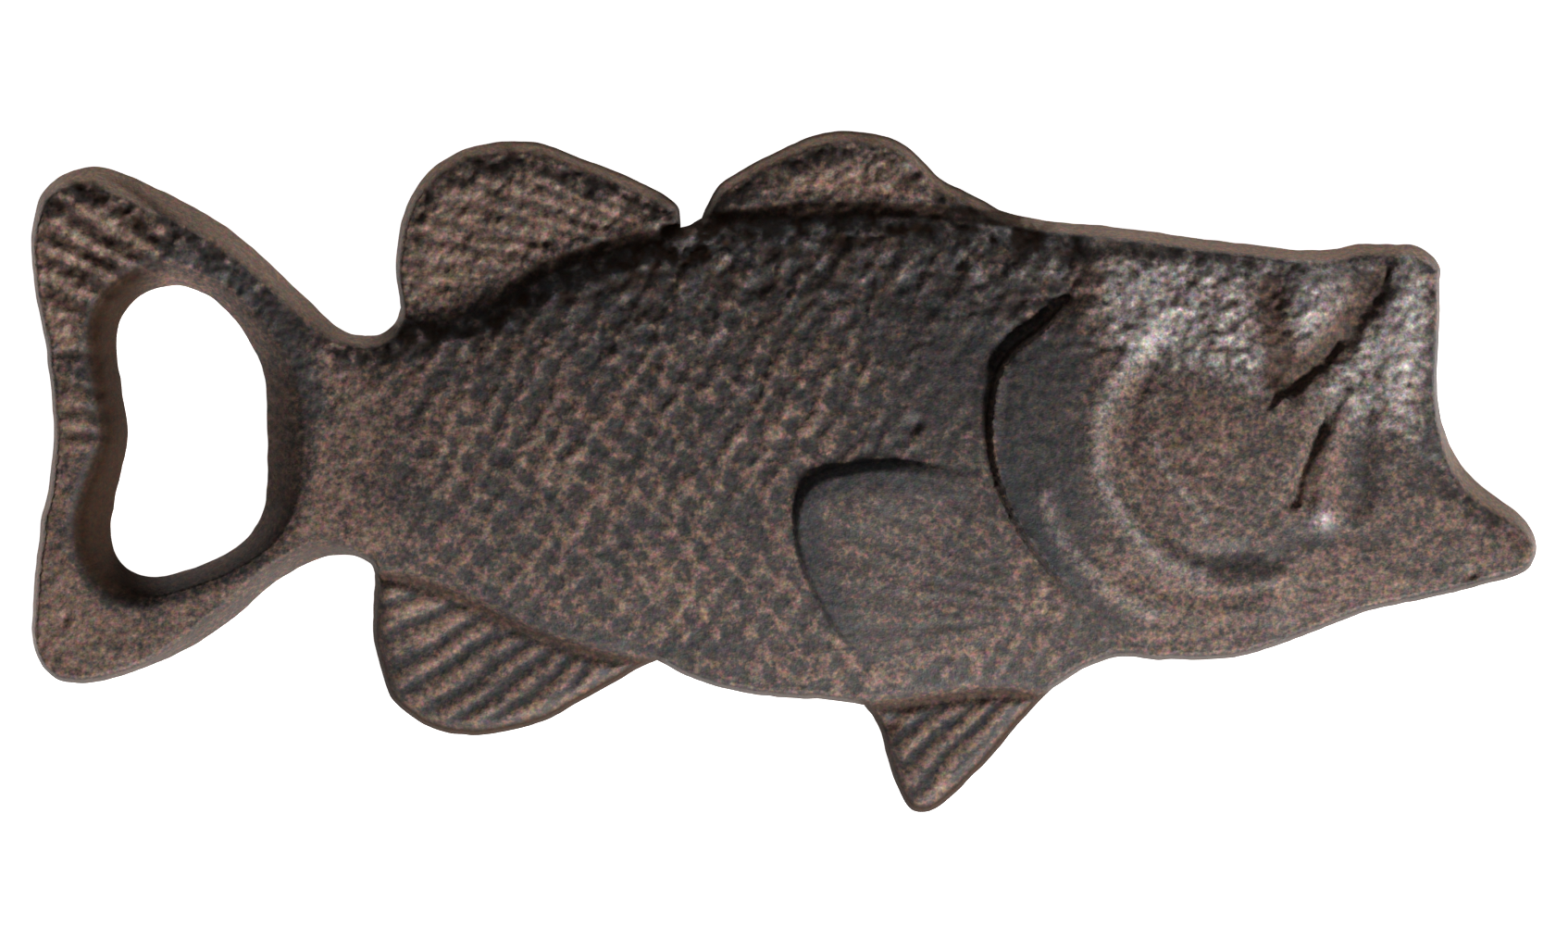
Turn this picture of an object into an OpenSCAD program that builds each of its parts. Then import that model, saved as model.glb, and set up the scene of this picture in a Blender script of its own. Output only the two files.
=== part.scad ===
// Largemouth bass bottle opener, cast in one pour of iron.
// The casting lies on its flat back: +X runs to the jaw's tip, +Y to the back fins and +Z out of the relief.
// Its one solid is parted along its own creases into the regions that a pattern maker would name.

/* [Casting] */
// Length from the tail's edge to the tip of the lower jaw
overall_length = 160; // [120:1:240]
// Thickness at the crest of the trunk
trunk_crest = 8.6; // [7.5:0.1:11]
// Radius of the trunk's crown across the fish
crown_across = 100; // [80:5:200]
// Radius of the trunk's crown along the fish
crown_along = 650; // [500:10:1200]
// Thickness of the four thin fins
fin_thickness = 3.8; // [3:0.1:4.5]
// Thickness of the tail round the opening
tail_thickness = 5.4; // [4.5:0.1:6]

/* [Head] */
// How far the gill cover stands above the trunk's crown
gill_rise = 1.1; // [0.5:0.1:2]
// How far the head stands above the trunk's crown
head_rise = 0.6; // [0.3:0.1:1.5]
// How far the two jaws stand above the trunk's crown
jaw_rise = 0.2; // [0:0.1:1]
// How far the cheek stands above the head
cheek_rise = 0.5; // [0.3:0.1:1]
// How far the eye stands above the head
eye_rise = 0.9; // [0.5:0.1:1.5]
// How far the pectoral fin stands above the trunk
pectoral_rise = 0.9; // [0.5:0.1:1.5]

/* [Opening] */
// Height of the upright land that hooks under a cap
lip_land = 1.6; // [1:0.1:2.5]

/* [Hidden] */

drawn_length = 160;                     // the outlines below are drawn at this length
size = overall_length / drawn_length;
crest = [12, 2];                        // where the crown is highest
steps = 3;                              // samples between two points of an outline
over = 1;                               // how far a cutter runs past what it cuts
stock = 20;                             // taller than any part of the casting
iron = "#5b4a43";
worn_iron = "#4a4442";

// Corners where the silhouette turns sharply or where a crease meets it.
tail_notch_top = [-44.5, 14.5];
tail_notch_bottom = [-43.5, -10.75];
anal_front = [-13.5, -20];
pelvic_rear = [8.5, -24.75];
pelvic_front = [27.75, -23.75];
gill_foot = [39.75, -20];
jaw_foot = [52.25, -18.5];
mouth_corner = [71.25, 2];
snout_top = [64, 24.25];
brow = [39.75, 25.5];
nape = [33.75, 26.25];
spiny_front = [24, 27.5];
spiny_rear = [-8.75, 27];
soft_front = [-11, 26];
soft_rear = [-40.75, 17.5];
arm_top = [-50.25, 18];
arm_bottom = [-50.75, -9.75];
fork_top = [-78.25, 11.25];
fork_bottom = [-79, -5];
preopercle_foot = [53.5, -9];

// The silhouette, as four smooth curves between its corners, anticlockwise from the top of the tail.
tail_edge = smooth([tail_notch_top, [-47, 15.25], arm_top, [-54, 21.75], [-58, 25.25], [-61.75, 27.75],
    [-65.75, 29.75], [-69.5, 31.5], [-73, 32.5], [-76.5, 31.75], [-79, 29.5], [-80, 26], [-80, 22],
    [-79.25, 17], fork_top, [-77.75, 6], [-77.75, 3], [-78.25, -1.5], fork_bottom, [-79.75, -11],
    [-80, -16], [-79.5, -19.5], [-77.5, -22], [-74.25, -22.5], [-70.5, -21.75], [-65.75, -20],
    [-61.25, -17.5], [-57.5, -14.75], [-54, -11.75], arm_bottom, [-48, -9], [-45.5, -9],
    [-44, -9.75], tail_notch_bottom]);
anal_edge = smooth([tail_notch_bottom, [-43.75, -13.75], [-43.75, -17.25], [-43, -20.75], [-42, -23.75],
    [-40, -25.75], [-37, -27.5], [-33.25, -28], [-29, -27.5], [-25, -26.25], [-21.25, -24.25],
    [-18, -22.5], [-15.5, -21], anal_front]);
belly_edge = smooth([anal_front, [-11.75, -21], [-9.5, -22], [-5.5, -23.25], [-0.75, -24], [4.25, -24.25],
    pelvic_rear]);
front_edge = smooth([pelvic_rear, [10, -27.25], [11, -30.75], [12, -33.5], [13.25, -35.75],
    [14.75, -36.25], [16.75, -35.5], [19.5, -33], [22.5, -29.75], [25, -26.75], pelvic_front,
    [29.75, -22.25], [32.75, -20.5], [36, -19.75], gill_foot, [44, -20], [48, -19.75], jaw_foot,
    [57, -16.75], [61.75, -15], [67.25, -13.75], [72.5, -12.5], [76.5, -11.5], [79, -10.5],
    [80, -8.75], [80, -7.25], [79.25, -5.5], [77.75, -4], [75.25, -2.25], [73, -0.25], mouth_corner,
    [70.25, 4.5], [69.75, 7], [69.5, 11], [69.75, 16], [69.75, 20], [69.75, 21.75], [68.75, 23.25],
    [66.75, 24.25], snout_top, [60.75, 24.25], [57.75, 23.75], [54.5, 23.75], [50.5, 24.25],
    [45.5, 24.75], brow, nape, [28.75, 26.75], spiny_front, [21.5, 28.75], [19, 30], [16.75, 31.25],
    [15, 33], [13, 34.75], [10.75, 35.75], [7.75, 36.25], [5, 36.25], [2, 35.5], [-1.5, 33.75],
    [-4.5, 32.25], [-6.75, 30.75], [-8, 29], spiny_rear]);
fin_gap = [spiny_rear, [-10.25, 26.25], soft_front];
soft_edge = smooth([soft_front, [-11, 28], [-12.25, 29.25], [-14.5, 30.5], [-18.5, 32.25],
    [-22.25, 33.75], [-25.75, 35], [-29.25, 35.25], [-32.75, 34.75], [-35.75, 33.5], [-38, 31.75],
    [-39.75, 29.25], [-40.75, 26.5], [-41.25, 23.5], [-41.25, 20.5], soft_rear]);
wrist_edge = smooth([soft_rear, [-41.5, 15.75], [-43, 14.75], tail_notch_top]);

// The creases, each running across the casting from one edge of it to another.
soft_crease = smooth([soft_rear, [-37, 17.25], [-33.25, 18.25], [-29.25, 20], [-25.25, 22.25],
    [-20.25, 24], [-15.5, 25.25], soft_front]);
spiny_crease = smooth([spiny_rear, [-4.5, 27.75], [0.25, 28.25], [5.25, 28.5], [10.25, 28.5],
    [15, 28.25], [19.5, 27.75], spiny_front]);
anal_crease = smooth([tail_notch_bottom, [-40, -11.25], [-36, -12.5], [-32.25, -14.25], [-28.25, -16.25],
    [-24.25, -17.75], [-20.25, -19], [-16.5, -19.75], anal_front]);
pelvic_crease = smooth([pelvic_rear, [11.5, -24.5], [15, -24], [19, -23.5], [23.5, -23.25],
    pelvic_front]);
gill_crease = smooth([nape, [32.75, 23.25], [31.5, 20.25], [29.5, 17.5], [27, 15], [24.5, 13],
    [22.75, 10.75], [22, 7.5], [21.75, 4], [22.25, 0.5], [23.5, -3.25], [25.5, -7], [28.5, -10.75],
    [32, -14], [35.5, -17], gill_foot]);
preopercle_crease = smooth([brow, [39.5, 19], [37.5, 12.25], [34.75, 7.75], [33.5, 3], [34.75, -2],
    [38.25, -7], [43, -10.5], [48.5, -11], preopercle_foot]);
throat_crease = [preopercle_foot, jaw_foot];
mouth_crease = smooth([preopercle_foot, [56.25, -7], [60.25, -6.75], [64.25, -5.5], [68, -2.25],
    mouth_corner]);
jawbone_crease = smooth([snout_top, [63, 20.75], [60, 15.25], [57, 11.5], [56, 8], [56.25, 4.5],
    [55, 0.5], [53.75, -4], preopercle_foot]);
tail_crease = [tail_notch_top, tail_notch_bottom];

// The opening that grips a crown cap: x, y and how far its sloped wall runs back.
opening = [[-64.75, 19.75, 2.2], [-67.75, 19, 2.5], [-69.75, 17.25, 2.8], [-70.75, 15, 2.8],
    [-70.75, 11.75, 2.6], [-70.25, 8.25, 2.5], [-69.75, 5.25, 2.5], [-69.75, 3, 2.5],
    [-70.25, 0.5, 2.8], [-71, -2.5, 3.2], [-71.5, -5.5, 3.5], [-71.25, -8, 3.4], [-70, -10, 3],
    [-67.75, -11, 2.4], [-65, -10.75, 2], [-61.75, -9.75, 1.9], [-58.75, -8.25, 2],
    [-56.5, -6.25, 2.6], [-55.25, -3.5, 3.3], [-55, 0, 3.9], [-55, 5, 4.1], [-55.25, 9.75, 3.5],
    [-56.25, 12.75, 2.8], [-57.75, 15.25, 2.4], [-59.75, 17.5, 2.2], [-62, 19, 2.1]];

// Outlines of what stands on the casting's own surface.
pectoral_outline = [[25.5, -10.5], [24.75, -6.5], [23.5, -3], [21, -0.75], [16, 0.75], [11, 1.25],
    [6.25, 0.75], [3, -0.25], [1.5, -2], [1, -5], [1.5, -9], [3, -12.75], [5.75, -17.25],
    [8.75, -19.5], [12.5, -20.25], [17, -19.5], [22, -17.5], [25.5, -14.25]];
cheek_outline = [[52.5, 7], [48, 9.5], [42.5, 9.5], [39, 6.75], [37.25, 2], [38.25, -3], [41.5, -6.75],
    [46.5, -8], [51, -5.75], [53, 0.5]];
eye_outline = [[54, 20.5], [53, 17.75], [53.25, 14.5], [55, 12.75], [57.25, 14.25], [59, 17],
    [60, 20], [57.25, 21.75]];

function clamp(i, n) = max(0, min(n - 1, i));
function bend(a, b, c, d, t) =
    0.5 * (2 * b + (c - a) * t + (2 * a - 5 * b + 4 * c - d) * t * t + (3 * b - 3 * c + d - a) * t * t * t);

// A smooth curve through the points, which keeps both ends.
function smooth(p) = [
    for (i = [0:len(p) - 2]) for (j = [0:steps - 1])
        bend(p[clamp(i - 1, len(p))], p[i], p[i + 1], p[clamp(i + 2, len(p))], j / steps),
    p[len(p) - 1]];

// A smooth closed curve through the points.
function smooth_loop(p) = let (n = len(p)) [
    for (i = [0:n - 1]) for (j = [0:steps - 1])
        bend(p[(i + n - 1) % n], p[i], p[(i + 1) % n], p[(i + 2) % n], j / steps)];

function turned(p) = [for (i = [len(p) - 1:-1:0]) p[i]];
function index_of(p, corner) = [for (i = [0:len(p) - 1]) if (norm(p[i] - corner) < 1e-6) i][0];
function stretch(p, from, to) = [for (i = [index_of(p, from):index_of(p, to)]) p[i]];
function region(curves) = [for (c = curves) for (i = [0:len(c) - 2]) c[i]];

// Where the opening's wall has run back to, at a share of its slope.
function opening_ring(share) = let (p = smooth_loop(opening), n = len(p)) [
    for (i = [0:n - 1]) let (ahead = p[(i + 1) % n], behind = p[(i + n - 1) % n],
        along = [ahead.x - behind.x, ahead.y - behind.y])
        [p[i].x, p[i].y] + share * p[i].z * [along.y, -along.x] / norm(along)];

// Everything under the crowned surface, raised by some height.
module crown(rise = 0) {
    slice = 2 * stock;
    translate([crest.x, crest.y, trunk_crest + rise - crown_along])
        rotate([0, -90, 0]) rotate([90, 0, 0]) rotate([0, 0, -15])
            rotate_extrude(angle = 30, $fn = 360)
                intersection() {
                    translate([crown_along - crown_across, 0]) circle(crown_across, $fn = 360);
                    translate([crown_along - slice, -45]) square([slice + over, 90]);
                }
}

// A solid from closed rings of equally many points, each one stacked on the last.
module lofted(rings, heights) {
    n = len(rings[0]);
    last = len(rings) - 1;
    polyhedron(
        points = [for (r = [0:last]) for (p = rings[r]) [p.x, p.y, heights[r]]],
        faces = concat(
            [[for (i = [0:n - 1]) i]],
            [for (r = [0:last - 1]) for (i = [0:n - 1]) each [
                [r * n + i, (r + 1) * n + i, (r + 1) * n + (i + 1) % n],
                [r * n + i, (r + 1) * n + (i + 1) % n, r * n + (i + 1) % n]]],
            [[for (i = [n - 1:-1:0]) last * n + i]]),
        convexity = 4);
}

// The opening's cutter: an upright land at the back, then a wall that slopes out to the tail's face.
module opening_cutter() {
    slope = tail_thickness - lip_land;
    past = (slope + over) / slope;
    lofted([opening_ring(0), opening_ring(0), opening_ring(past)],
        [-over, lip_land, tail_thickness + over]);
}

module slab(curves, height) {
    linear_extrude(height) polygon(region(curves));
}

// A region of the crowned casting, from its flat back to its surface.
module crowned(curves, rise = 0) {
    intersection() {
        slab(curves, stock);
        crown(rise);
    }
}

// A piece of relief between two crowned surfaces.
module relief(outline, foot, top) {
    difference() {
        intersection() {
            linear_extrude(stock) polygon(smooth_loop(outline));
            crown(top);
        }
        crown(foot);
    }
}

module tail_piece(curves) {
    difference() {
        slab(curves, tail_thickness);
        opening_cutter();
    }
}

module trunk() {
    color(worn_iron) crowned([wrist_edge, tail_crease, anal_crease, belly_edge, pelvic_crease,
        stretch(front_edge, pelvic_front, gill_foot), turned(gill_crease),
        stretch(front_edge, nape, spiny_front), turned(spiny_crease), fin_gap, turned(soft_crease)]);
}

module gill_cover() {
    color(worn_iron) crowned([gill_crease, stretch(front_edge, gill_foot, jaw_foot),
        turned(throat_crease), turned(preopercle_crease), stretch(front_edge, brow, nape)], gill_rise);
}

module head() {
    color(iron) crowned([preopercle_crease, turned(jawbone_crease),
        stretch(front_edge, snout_top, brow)], head_rise);
}

module cheek() {
    color(iron) relief(cheek_outline, head_rise, head_rise + cheek_rise);
}

module eye() {
    color(worn_iron) relief(eye_outline, head_rise, head_rise + eye_rise);
}

module upper_jaw() {
    color(iron) crowned([jawbone_crease, mouth_crease, stretch(front_edge, mouth_corner, snout_top)],
        jaw_rise);
}

module lower_jaw() {
    color(iron) crowned([throat_crease, stretch(front_edge, jaw_foot, mouth_corner),
        turned(mouth_crease)], jaw_rise);
}

module pectoral_fin() {
    color(worn_iron) relief(pectoral_outline, 0, pectoral_rise);
}

module soft_dorsal_fin() {
    color(iron) slab([soft_edge, soft_crease], fin_thickness);
}

module spiny_dorsal_fin() {
    color(iron) slab([spiny_crease, stretch(front_edge, spiny_front, spiny_rear)], fin_thickness);
}

module anal_fin() {
    color(iron) slab([anal_edge, turned(anal_crease)], fin_thickness);
}

module pelvic_fin() {
    color(iron) slab([stretch(front_edge, pelvic_rear, pelvic_front), turned(pelvic_crease)],
        fin_thickness);
}

module tail_root() {
    color(worn_iron) tail_piece([stretch(tail_edge, tail_notch_top, arm_top), [arm_top, [-62, 10],
        [-62, -2], arm_bottom], stretch(tail_edge, arm_bottom, tail_notch_bottom),
        turned(tail_crease)]);
}

module tail_upper_lobe() {
    color(iron) tail_piece([stretch(tail_edge, arm_top, fork_top), [fork_top, [-65, 9], [-62, 10],
        arm_top]]);
}

module tail_lower_lobe() {
    color(iron) tail_piece([stretch(tail_edge, fork_bottom, arm_bottom), [arm_bottom, [-62, -2],
        [-65, -3], fork_bottom]]);
}

module cap_lip() {
    color(worn_iron) tail_piece([stretch(tail_edge, fork_top, fork_bottom), [fork_bottom, [-65, -3],
        [-65, 9], fork_top]]);
}

scale([size, size, 1]) {
    trunk();
    head();
    gill_cover();
    cheek();
    eye();
    upper_jaw();
    lower_jaw();
    soft_dorsal_fin();
    spiny_dorsal_fin();
    anal_fin();
    pelvic_fin();
    pectoral_fin();
    tail_root();
    tail_upper_lobe();
    tail_lower_lobe();
    cap_lip();
}
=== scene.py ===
"""Looks of the cast-iron bass bottle opener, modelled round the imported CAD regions.

The opener is one casting, and the CAD model parts it into named regions. This script reads the regions'
outlines and heights from the frame, models the cast relief on them as one sheet of fine triangles, and
cuts that sheet along the regions' own creases into one closed piece for each region.
Lengths are in millimetres until a mesh is written, which is in metres.
"""

import math

import bpy
import numpy as np
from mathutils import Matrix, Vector
from mathutils.bvhtree import BVHTree
from mathutils.geometry import delaunay_2d_cdt
from mathutils.kdtree import KDTree


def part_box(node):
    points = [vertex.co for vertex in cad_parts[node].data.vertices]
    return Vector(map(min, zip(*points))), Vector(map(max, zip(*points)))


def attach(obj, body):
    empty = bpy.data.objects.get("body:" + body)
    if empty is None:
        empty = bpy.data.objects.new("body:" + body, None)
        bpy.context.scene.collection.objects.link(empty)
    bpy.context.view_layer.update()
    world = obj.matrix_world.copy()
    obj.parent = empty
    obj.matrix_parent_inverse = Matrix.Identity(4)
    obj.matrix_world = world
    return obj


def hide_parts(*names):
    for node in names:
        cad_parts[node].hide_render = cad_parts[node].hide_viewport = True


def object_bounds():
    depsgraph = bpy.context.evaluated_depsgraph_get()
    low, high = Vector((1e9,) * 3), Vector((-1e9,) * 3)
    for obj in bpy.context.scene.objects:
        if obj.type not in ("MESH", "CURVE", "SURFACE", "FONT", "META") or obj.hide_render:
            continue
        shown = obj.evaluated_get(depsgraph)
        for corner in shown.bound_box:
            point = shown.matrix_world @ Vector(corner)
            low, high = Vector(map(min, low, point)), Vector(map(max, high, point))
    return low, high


MM = 0.001
SLOT = "lacquered_iron"
PLATES = ["pectoral_fin", "cheek", "eye"]       # regions that stand on another one
TAIL = ["tail_root", "tail_upper_lobe", "tail_lower_lobe", "cap_lip"]
MASKS = ["grey", "worn", "bare_and_glint", "wall", "painted_shade"]    # of the finish and of painted shade, glints and wall light, as Relief says

# The mesh
SPACING = 0.26               # between neighbouring vertices of the relief
BACK_SPACING = 1.2           # between neighbouring vertices of the flat back
WELD = 0.004                 # how near two CAD vertices are when they are the same one
RINGS = (0.07, 0.17, 0.3, 0.46)   # depths of the extra rings of vertices inside every free edge
JITTER = 0.22                # how far a vertex strays from the even grid, as a share of the spacing
REACH = 6.0                  # how far distances to edges and creases are measured

# The casting's edges
PARTING = 1.3                # height of the line where the outline is widest
LIP_LAND = 1.6               # height of the opening's upright land
WALL_STEPS = ((0.0, 0.85), (0.0, 0.45), (0.1, 0.16), (0.3, 0.0))   # depth and height of the wall's foot
EDGE_WANDER = 0.16           # how far the outline strays, as a sand mould leaves it
CORNER_ROOM = 1.5            # how near a crease's end the outline and the wall's foot keep to the CAD's line
WALL_RUN = 0.45              # how far a side wall slopes in
WALL_RUN_BACK = 0.75         # how much further it slopes in where it faces the fish's back
SHOULDER = 1.3               # how near an edge the surface starts to sink
SHOULDER_DROP = 0.5          # how far it sinks

# The relief
FILLET = 0.95                # blur that turns the CAD's steps into cast fillets
WRIST = 3.5                  # blur of the step from the trunk down to the tail
BANK_SLOPE = 0.3             # of the bank that rises from a dorsal fin to the trunk
BANK_FOOT = 1.2              # width of the bank's foot, past which it is steeper
BANK_STEEPER = 0.5           # how much steeper
PLATE_DEPTH = 0.7            # thickness of the pieces that stand on another one
SCALE_PITCH = 2.75           # between two rows of scales
SCALE_RISE = 0.22            # height of the net between the scales
SMOOTH_PATCH = (18.5, 9)     # middle of the patch behind the gill cover that has no scales
EYE = (56.6, 18.3)           # middle of the eye's bump
KNOB = (57, -4.6)            # middle of the bump at the mouth's corner
PITS = ((73, -10.9, 0.7, 0.7), (14, 5, 0.9, 0.45), (-76.3, -15.5, 0.7, 0.4),
        (11.6, -26.6, 0.9, 0.7), (52, -9.6, 1.0, 0.3))   # x, y, radius and depth of the larger pits

# The lacquer's colours, and those of painted shade, painted glints and the walls' painted light
# The darkest colour, of graphite, which painted shade also pushes the lacquer towards
GRAPHITE_AND_SHADE = (0.034, 0.0335, 0.035)
DARK_BROWN = (0.068, 0.053, 0.048)
BROWN = (0.17, 0.109, 0.084)
RUBBED = (0.24, 0.162, 0.124)
# The next three paint light and shade as well: bare iron also paints glints, the wall brown is painted
# lighter as if lit from the floor, and the deep brown is painted shade
BARE_IRON_AND_GLINT = (0.4, 0.35, 0.33)
LIT_WALL_BROWN = (0.27, 0.168, 0.11)
SHADE_BROWN = (0.027, 0.0115, 0.0045)

# The lacquer's texture
PATCH = 9                    # sizes of its spots, from the largest to the smallest
MOTTLE = 1.0
FLECK = 0.5
SPECK = 0.45
GRAIN = 0.22
BUMP = 0.12                  # height of the finest relief, which is only shaded
SPECULAR = 0.33

# The studio, in metres and watts
FLOOR_SIZE = 8
FLOOR_GLOW = 1.0
PAPER = 0.9                  # the floor's grey and its roughness
SKY = 0.03
LAMPS = (("key", (0.4, -0.68, 0.46), (0.4, 0.2), 15.5),
         ("top", (0.15, 0.3, 0.75), (0.08, 0.08), 0.4))
CAMERA_HEIGHT = 2.0          # above the floor
PICTURE_WIDTH = 0.1667       # of what the camera sees at the casting's outline
CAMERA_OFFSET = 0.00093      # of the camera from the casting's middle, towards the fish's back

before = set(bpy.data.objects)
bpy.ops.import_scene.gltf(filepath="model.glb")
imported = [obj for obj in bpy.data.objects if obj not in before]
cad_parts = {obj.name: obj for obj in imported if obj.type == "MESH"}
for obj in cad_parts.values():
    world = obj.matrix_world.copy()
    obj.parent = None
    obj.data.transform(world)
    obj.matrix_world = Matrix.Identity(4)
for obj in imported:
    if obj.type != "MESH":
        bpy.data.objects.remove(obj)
cad_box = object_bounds()


# ---------------------------------------------------------------- the CAD regions

def cad_triangles(node):
    """The corners of a CAD node's triangles: an array of triangle, corner and xyz."""
    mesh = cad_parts[node].data
    mesh.calc_loop_triangles()
    points = np.empty(len(mesh.vertices) * 3)
    mesh.vertices.foreach_get("co", points)
    corners = np.empty(len(mesh.loop_triangles) * 3, np.int64)
    mesh.loop_triangles.foreach_get("vertices", corners)
    return points.reshape(-1, 3)[corners].reshape(-1, 3, 3) / MM


def slopes(triangles):
    """The upward part of each triangle's unit normal."""
    across = np.cross(triangles[:, 1] - triangles[:, 0], triangles[:, 2] - triangles[:, 0])
    return across[:, 2] / np.maximum(np.linalg.norm(across, axis=1), 1e-12)


def welded(points):
    """For each point the number of the first point that lies at the same place."""
    tree = KDTree(len(points))
    for i, (x, y) in enumerate(points):
        tree.insert((x, y, 0), i)
    tree.balance()
    return [min(i for _, i, _ in tree.find_range((x, y, 0), WELD)) for x, y in points]


def back_loops(nodes):
    """The outline of each node's flat back, anticlockwise from above, as numbers of shared points."""
    backs = {}
    for node in nodes:
        triangles = cad_triangles(node)
        backs[node] = triangles[np.abs(triangles[:, :, 2]).max(1) < WELD][:, ::-1, :2]
    points = np.concatenate([t.reshape(-1, 2) for t in backs.values()])
    same = welded(points)
    loops, start = {}, 0
    for node, triangles in backs.items():
        edges = set()
        for _ in triangles:
            a, b, c = same[start:start + 3]
            start += 3
            edges.update([(a, b), (b, c), (c, a)])
        onward = {a: b for a, b in edges if (b, a) not in edges and a != b}
        loops[node] = followed(onward, min(onward))
    return loops, points


def followed(onward, first):
    loop = [first]
    while onward[loop[-1]] != first:
        loop.append(onward[loop[-1]])
    return loop


def smooth_line(points, step):
    """Points about a step apart on a smooth curve through the given ones, both ends included."""
    points = np.asarray(points, float)
    padded = np.vstack([2 * points[0] - points[1], points, 2 * points[-1] - points[-2]])
    line = []
    for a, b, c, d in zip(padded[:-3], padded[1:-2], padded[2:-1], padded[3:]):
        count = max(1, round(math.dist(b, c) / step))
        for t in np.arange(count) / count:
            line.append(0.5 * (2 * b + (c - a) * t + (2 * a - 5 * b + 4 * c - d) * t ** 2
                               + (3 * b - 3 * c + d - a) * t ** 3))
    return np.array(line + [points[-1]])


def plate_outline(node):
    """The outline of a region that stands on another one, from its upright walls."""
    triangles = cad_triangles(node)
    points = triangles[np.abs(slopes(triangles)) < 0.02].reshape(-1, 3)[:, :2]
    points = points[sorted(set(welded(points)))]
    spoke = points - points.mean(0)
    points = points[np.argsort(np.arctan2(spoke[:, 1], spoke[:, 0]))]
    return smooth_line(np.vstack([points, points[:1]]), SPACING)[:-1]


# ---------------------------------------------------------------- curves and noise

def smoothstep(low, high, value):
    t = np.clip((value - low) / (high - low), 0, 1)
    return t * t * (3 - 2 * t)


def bell(distance, width):
    return np.exp(-(distance / width) ** 2)


def nearest(xy, starts, ends, reach=REACH):
    """Distance from each point to the nearest of some segments, and that segment's number.
    A point further than the reach from all of them gets the reach."""
    best = np.full(len(xy), float(reach))
    which = np.zeros(len(xy), int)
    for first in range(0, len(starts), 16):
        a, b = starts[first:first + 16], ends[first:first + 16]
        low = np.minimum(a, b).min(0) - reach
        high = np.maximum(a, b).max(0) + reach
        close = np.flatnonzero(((xy > low) & (xy < high)).all(1))
        along = b - a
        offset = xy[close, None] - a
        t = np.clip((offset * along).sum(2) / np.maximum((along ** 2).sum(1), 1e-12), 0, 1)
        gap = np.linalg.norm(offset - t[..., None] * along, axis=2)
        pick = gap.argmin(1)
        gap = gap[np.arange(len(close)), pick]
        nearer = gap < best[close]
        best[close[nearer]] = gap[nearer]
        which[close[nearer]] = first + pick[nearer]
    return best, which


def from_line(xy, *points):
    """Distance from each point to a smooth curve, negative on the curve's right side."""
    line = smooth_line(points, 1.0)
    gap, which = nearest(xy, line[:-1], line[1:])
    along, offset = (line[1:] - line[:-1])[which], xy - line[which]
    return np.where(along[:, 0] * offset[:, 1] < along[:, 1] * offset[:, 0], -gap, gap)


def value_noise(x, y, size, seed):
    """Smooth noise from -1 to 1, whose lumps are about as large as size."""
    cells = np.random.default_rng(seed).uniform(-1, 1, (256, 256))
    u, v = x / size + 97.3, y / size + 41.7
    i, j = np.floor(u).astype(int), np.floor(v).astype(int)
    fu, fv = smoothstep(0, 1, u - i), smoothstep(0, 1, v - j)
    i0, j0, i1, j1 = i % 256, j % 256, (i + 1) % 256, (j + 1) % 256
    return ((cells[i0, j0] * (1 - fu) + cells[i1, j0] * fu) * (1 - fv)
            + (cells[i0, j1] * (1 - fu) + cells[i1, j1] * fu) * fv)


def rough_noise(x, y, size, seed, octaves=3):
    return sum(value_noise(x, y, size / 2 ** k, seed + k) / 2 ** k for k in range(octaves))


def blurred(values, sigma):
    reach = int(3 * sigma) + 1
    weights = np.exp(-0.5 * (np.arange(-reach, reach + 1) / sigma) ** 2)
    for axis in (0, 1):
        values = np.apply_along_axis(np.convolve, axis, values, weights / weights.sum(), "same")
    return values


# ---------------------------------------------------------------- the parted outline

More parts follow.
